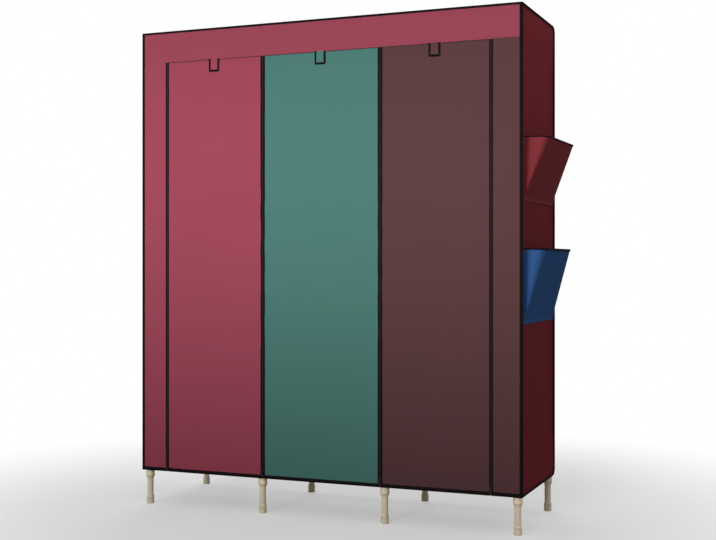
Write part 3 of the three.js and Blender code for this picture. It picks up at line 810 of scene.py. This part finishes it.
for door, finish in doors.items():
    body = f"{door}_strap"
    low, high = span(body)
    start = low + np.array([UNDER, 0.3 * mm, UNDER])
    points, *_ = plane(start, (high[0] - UNDER, start[1], high[2]), 8, 10)
    sheet(f"{body}_cloth", points, finish, body, body=body)
    path = hanging_loop(low, high, 3.2 * mm, low[1] + 0.6 * mm)
    path = np.concatenate([np.linspace(a, b, 8)[:-1] for a, b in zip(path[:-1], path[1:])] + [path[-1:]])
    trim(f"{body}_binding", flat_loop(2.0 * mm, 7.4 * mm), path, -inward, body=body)

# %% [markdown]
# ## The header's lap
# The header's lower edge is folded back and sewn down over the tops of the doors. The fold stands
# a millimetre proud, so a fine shadow lies under it, and a dark seam cord just below it paints that
# shadow deeper. It is a loop of its own over the header's plain sheet, which is simpler than
# folding the sheet.

# %% Header lap
lap_ends = centre("left_zip_slider")[0] - 7 * mm, centre("right_zip_slider")[0] + 7 * mm
path = crosswise(lap_ends, front - 0.1 * mm, header_edge + 3 * mm, 60)
trim("header_lap", flat_loop(2.4 * mm, 10 * mm), path, -inward, cloths["burgundy_cloth"], "burgundy_cloth")
# A dark cord just under the lap's edge: a seam whose dark colour paints the fine shadow there.
path = crosswise(lap_ends, front - 0.5 * mm, header_edge - 2.4 * mm, 40)
trim("header_seam_and_painted_shadow", bead(1.3 * mm, 8), path, -inward, seam_thread_and_painted_shadow, "burgundy_cloth")

# %% [markdown]
# ## Side pockets
# Two pockets are sewn flat to the right side and gape at the top. Seen from above, the cloth
# leaves the front seam flat, turns up steeply and bends round into the outer face, which catches
# the light along its steep part. The lower pocket bends more slowly than the upper one. The cloth
# comes back in a tighter round at the rear. Towards the foot all of this shrinks, so the pocket
# closes like a cone.

# %% Pockets
# cloth, foot of the taper, how far the lip stands out, the bend's shares and power, the lip's tape at its ends
pockets = {"upper_side_pocket": ("red_pocket_cloth", 1083 * mm, 80 * mm, (0.27, 0.58, 1.6), (4.4 * mm, 4.4 * mm)),
           "lower_side_pocket": ("blue_pocket_cloth", 684 * mm, 69 * mm, (0.18, 0.34, 3.0), (5 * mm, 9 * mm))}
STEEP, SHOULDER, FLAT_STRIP, SEAM_IN = math.radians(74), 0.92, 30 * mm, 1.5 * mm


def ease(t):
    """Smoothstep: 3 t^2 - 2 t^3, held at 0 and 1 outside."""
    t = np.clip(t, 0, 1)
    return t * t * (3 - 2 * t)


def bend(rise, hold, power):
    """A wall that reaches 1 outwards. Its angle grows to STEEP over the share `rise`, and after `hold` it
    fades as (1 - share) ** power."""
    s = np.linspace(0, 1, 60)
    turning = STEEP * ease(s / rise) * np.clip((1 - s) / (1 - hold), 0, 1) ** power
    wall = np.cumsum(together(np.sin(turning), np.cos(turning)), axis=0)
    return (wall - wall[0]) / (wall[-1, 0] - wall[0, 0])


def pocket_plan(wall, reach, rear_round, start, end):
    """(out, y) points: a flat strip, the wall scaled to reach its shoulder, a straight run, a quarter ellipse back."""
    first = wall * (reach * SHOULDER) + [0, start + FLAT_STRIP]
    last = [0, end - rear_round] + around(np.linspace(0, pi / 2, 14)) * [reach, rear_round]
    run = np.linspace(first[-1], last[0], 18)[1:-1]
    seam = np.linspace([0, start], first[0], 5)[:-1]
    return np.concatenate([seam, first, run, last])


for name, (finish, taper, reach, shares, tape) in pockets.items():
    low, high = span(name)
    heights = np.concatenate([np.linspace(low[2], taper, 4)[:-1], np.linspace(taper, high[2], 50)])
    opening = np.clip((heights - taper) / (high[2] - taper), 0, 1)
    wall, seams = bend(*shares), (low[1] + SEAM_IN, high[1] - SEAM_IN)
    plans = np.stack([pocket_plan(wall, 0.4 * mm + reach * share, (8 + 34 * share) * mm, *seams)
                      for share in opening], axis=1)
    out, y = plans[..., 0], plans[..., 1]
    seat = drawn_in(np.minimum(y - front, back - y), heights)
    points = together(right + CLOTH + 0.3 * mm - seat + out, y, heights)
    sheet(f"{name}_cloth", points, finish, name)
    lip = points[:, -1]
    out = unit(np.cross(np.gradient(lip, axis=0), upright))
    widths = np.linspace(*tape, len(lip))
    path = lip - out * 0.6 * mm - upright * (widths[:, None] / 2 - 0.6 * mm)
    trim(f"{name}_lip_binding", flat_loop(2.4 * mm, 1.0), path, out, swell=widths)

# %% [markdown]
# ## Rows of stitches
# Tapes, hems and the lap are sewn down by rows of stitches near their edges. Rows on the fixed
# cloth are one piece. Each door has its own, and its hem and strap carry theirs along.

# %% Stitching
sewn = {owner: [] for owner in ("root", *doors)}
face = front - TAPE - 0.1 * mm


def up_row(x, y, foot, head, owner="root", out=-inward):
    """Notes an upright row of stitches for the piece of its owner."""
    sewn[owner].append((np.array([(x, y, foot), (x, y, head)]), out))


for x in (left + 4 * mm, right - 4.5 * mm):
    up_row(x, face, hem_edge + 16 * mm, top - 12 * mm)
sewn["root"] += [(crosswise(lap_ends, front - 1.4 * mm, header_edge + 6 * mm), -inward),
                 (crosswise((left + 8 * mm, right - 8 * mm), face, top - 6.3 * mm), -inward)]
for name, (*owners, width) in zips.items():
    for owner, way in zip(owners, (-1, 1)):
        x = centre(f"{name}_slider")[0] + way * (width + 0.5 * mm)
        up_row(x, front - 0.3 * mm, hem_edge + 14 * mm, door_top - 2 * mm, owner if owner in doors else "root")
for name in pockets:
    low, high = span(name)
    x, foot, ys = right + CLOTH - 2.2 * mm, low[2] + 4 * mm, (front + 18 * mm, back - 18 * mm)
    for y in ys:
        up_row(x, y, foot, high[2] - 14 * mm, out=across)
    sewn["root"].append((np.array([(x, y, foot) for y in ys]), across))
stitches("cover_stitches", sewn["root"])
for door in doors:
    gathers(stitches(f"{door}_stitches", sewn[door]))
    low, high = span(f"{door}_hem")
    path = crosswise((low[0] + 3 * mm, high[0] - 3 * mm), face - 0.2 * mm, hem_middle + 4 * mm)
    stitches(f"{door}_hem_stitches", [(path, -inward)], body=door)
    body = f"{door}_strap"
    low, high = span(body)
    path = hanging_loop(low, high, 5.4 * mm, low[1] - 0.4 * mm)
    stitches(f"{body}_stitches", [(path, -inward)], body=body, pitch=3.5 * mm, tips=1.2 * mm, waist=0.35 * mm)
print(sum(len(runs) for runs in sewn.values()), "rows of stitches")

# %% [markdown]
# ## Shelves
# A shelf in the centre bay is one cloth with a hem round a tube at its front and at its back.
# Each tube ends in moulded sleeves on the centre posts. The cloth's outline, round one tube,
# across and round the other, is a path in Y and Z, carried along X.

# %% Centre shelves
HEM_ROUND, HEM_UNDER = 12.5 * mm, 30 * mm
sleeve_profile = np.array([(11.4, -20), (14.4, -20), (15, -19), (15, 19), (14.4, 20), (11.4, 20)]) * mm
shelf_rows = {row: centre(f"post_{row}_centre_left")[1] for row in rows}
fore, rear = shelf_rows["front"], shelf_rows["back"]
posts = centre("post_front_centre_left")[0], centre("post_front_centre_right")[0]
cloth_ends = posts[0] + REACH + 0.5 * mm, posts[1] - REACH - 0.5 * mm
nose = HEM_ROUND * around(np.linspace(-pi / 2, pi / 2, 14)) * [-1, 1]
hem = np.concatenate([np.linspace([HEM_UNDER, HEM_ROUND - 2.2 * mm], nose[0], 8)[:-1], nose])
near, far = [fore, 0] + hem, ([rear, 0] + hem * [-1, 1])[::-1]
outline = np.concatenate([near, np.linspace(near[-1], far[0], 40)[1:-1], far])
sag = np.clip(1 - np.abs(outline[:, 0]) / abs(fore), 0, 1) * (outline[:, 1] > HEM_ROUND * 0.9)
u = np.linspace(0, 1, 30)[:, None]
x, sag = cloth_ends[0] + u * (cloth_ends[1] - cloth_ends[0]), 2.5 * mm * np.sin(pi * u) * sag
for shelf in ("lower_shelf", "middle_shelf", "upper_shelf"):
    height = centre(shelf)[2]
    points = together(x, outline[:, 0], height + outline[:, 1] - sag)
    sheet(f"{shelf}_cloth", points, "shelf_cloth", shelf)
    for row, y in shelf_rows.items():
        start, end = together(posts, y, height)
        steel_tube(f"{shelf}_tube_{row}", start + TUBE_START * across, end - TUBE_START * across, shelf)
        for place, way, hand in ((start, across, "left"), (end, -across, "right")):
            grids = [turned(sleeve_profile, place, upright), turned(arm_profile, place, way)]
            moulded(f"{shelf}_sleeve_{row}_{hand}", grids, shelf)

# %% [markdown]
# ## Base shelf
# The floor of the wardrobe is one cloth on the base connectors, notched round the eight posts.
# A grid with a line at every notch edge makes this easy: the quads inside a notch are left out.

# %% Base shelf
low, high = span("base_shelf")
notch = 13 * mm
xs = np.unique(np.round(np.concatenate([np.linspace(low[0], high[0], 90), post_x - notch, post_x + notch]), 5))
xs = xs[(xs >= low[0]) & (xs <= high[0])]
ys = np.array([low[1], *np.linspace(fore + notch, rear - notch, 24), high[1]])
bays = np.clip((np.abs(xs[:, None] - post_x).min(1) - notch) / 0.2, 0, 1)
across_floor = np.sin(pi * np.clip((ys - low[1]) / (high[1] - low[1]), 0, 1))
points = together(xs[:, None], ys, high[2] - 4 * mm * bays[:, None] * across_floor ** 0.7)
in_notch = np.abs((xs[1:] + xs[:-1])[:, None] / 2 - post_x).min(1) < notch
faces = grid_faces(len(xs), len(ys)).reshape(len(xs) - 1, len(ys) - 1, 4)
keep = np.ones(faces.shape[:2], bool)
keep[np.ix_(in_notch, [0, -1])] = False
used, faces = np.unique(faces[keep], return_inverse=True)
floor_cloth = make_piece("base_shelf_cloth", points.reshape(-1, 3)[used], faces.reshape(-1, 4), cloths["shelf_cloth"],
                         stands_for=["base_shelf"], slot="shelf_cloth", uv=grid_lengths(points)[used], closed=False)
add_thickness(floor_cloth, CLOTH)

# %% [markdown]
# ## The floor
# The wardrobe stands on a plain pale floor. It is white only for the camera and for reflections,
# and darker for the light that it throws back, so that it doesn't brighten the cloth from below.
# With distance it fades into the white of the background.

# %% Floor
FLOOR = 9
floor_mesh = bpy.data.meshes.new("floor")
floor_mesh.from_pydata([(-FLOOR, -FLOOR, 0), (FLOOR, -FLOOR, 0), (FLOOR, FLOOR, 0), (-FLOOR, FLOOR, 0)],
                       [], [(0, 1, 2, 3)])
floor = bpy.data.objects.new("floor", floor_mesh)
bpy.context.collection.objects.link(floor)


def seen_directly(tree):
    """1 for camera, glossy and transmission rays, and 0 for the diffuse rays that carry light."""
    ray = add_node(tree, "LightPath").outputs
    through = maths(tree, "ADD", ray["Is Glossy Ray"], ray["Is Transmission Ray"])
    return maths(tree, "ADD", ray["Is Camera Ray"], through)


paint, tree, shader = start_material("pale_floor", 0.9, Specular_IOR_Level=0.1)
place = add_node(tree, "TexCoord").outputs["Object"]
reach = add_node(tree, "VectorMath", {0: place}, operation="LENGTH").outputs["Value"]
fade = add_node(tree, "MapRange", {0: reach, 1: 0.8, 2: 2.2, 3: 0.4, 4: 1.0}, interpolation_type="SMOOTHSTEP")
seen = seen_directly(tree)
greys = {0: seen, 6: (0.18, 0.18, 0.18, 1), 7: (0.88, 0.88, 0.88, 1)}
tree.links.new(add_node(tree, "Mix", greys, data_type="RGBA").outputs[2], shader.inputs["Base Color"])
white = add_node(tree, "Emission", {"Color": (1, 1, 1, 1), "Strength": 1.0}).outputs[0]
faded = maths(tree, "MULTIPLY", fade.outputs[0], seen)
mixed = add_node(tree, "MixShader", {0: faded, 1: shader.outputs[0], 2: white})
tree.links.new(mixed.outputs[0], tree.nodes["Material Output"].inputs[0])
floor_mesh.materials.append(paint)

# %% [markdown]
# ## The light
# The light is soft. A large lamp in front, above and to the left gives the front its light and
# leaves the right side in shade. A small lamp on the right grazes the top of that side, and a
# dim sky fills in the rest. The sky is white only for the camera and for reflections.

# %% Lights
world = bpy.data.worlds.new("studio")
bpy.context.scene.world = world
world.use_nodes = True
tree = world.node_tree
sky = tree.nodes["Background"]
sky.inputs["Color"].default_value = (1, 1, 1, 1)
sky.inputs["Strength"].default_value = 0.43
backdrop = add_node(tree, "Background", {"Color": (1, 1, 1, 1), "Strength": 1.0}).outputs[0]
mixed = add_node(tree, "MixShader", {0: seen_directly(tree), 1: sky.outputs[0], 2: backdrop})
tree.links.new(mixed.outputs[0], tree.nodes["World Output"].inputs[0])


def soft_box(name, place, aim, wide, tall, power, spread):
    """A rectangular lamp whose light goes forward, within `spread` degrees."""
    lamp = bpy.data.objects.new(name, bpy.data.lights.new(name, "AREA"))
    lamp.data.shape, lamp.data.size, lamp.data.size_y = "RECTANGLE", wide, tall
    lamp.data.energy, lamp.data.spread = power, math.radians(spread)
    x, y, z = np.subtract(aim, place)
    lamp.location = place
    lamp.rotation_euler = (math.atan2(math.hypot(x, y), -z), 0, math.atan2(y, x) - pi / 2)
    bpy.context.collection.objects.link(lamp)


soft_box("front_lamp", (-0.6, -5.8, 2.4), (-0.1, front, 1.2), 4.0, 0.8, 18.4, 29)
soft_box("side_lamp", (1.7, 0.2, 2.5), (right, 0, 1.75), 0.6, 0.6, 0.6, 60)
soft_box("back_lamp", (-1.6, 3.6, 2.4), (0, back, 0.9), 2.4, 1.2, 12, 100)

# %% [markdown]
# ## Finish
# Colours are shown as they are written, and the scene is brought up to date.

# %% Finish
bpy.context.scene.view_settings.view_transform = "Standard"
bpy.context.view_layer.update()
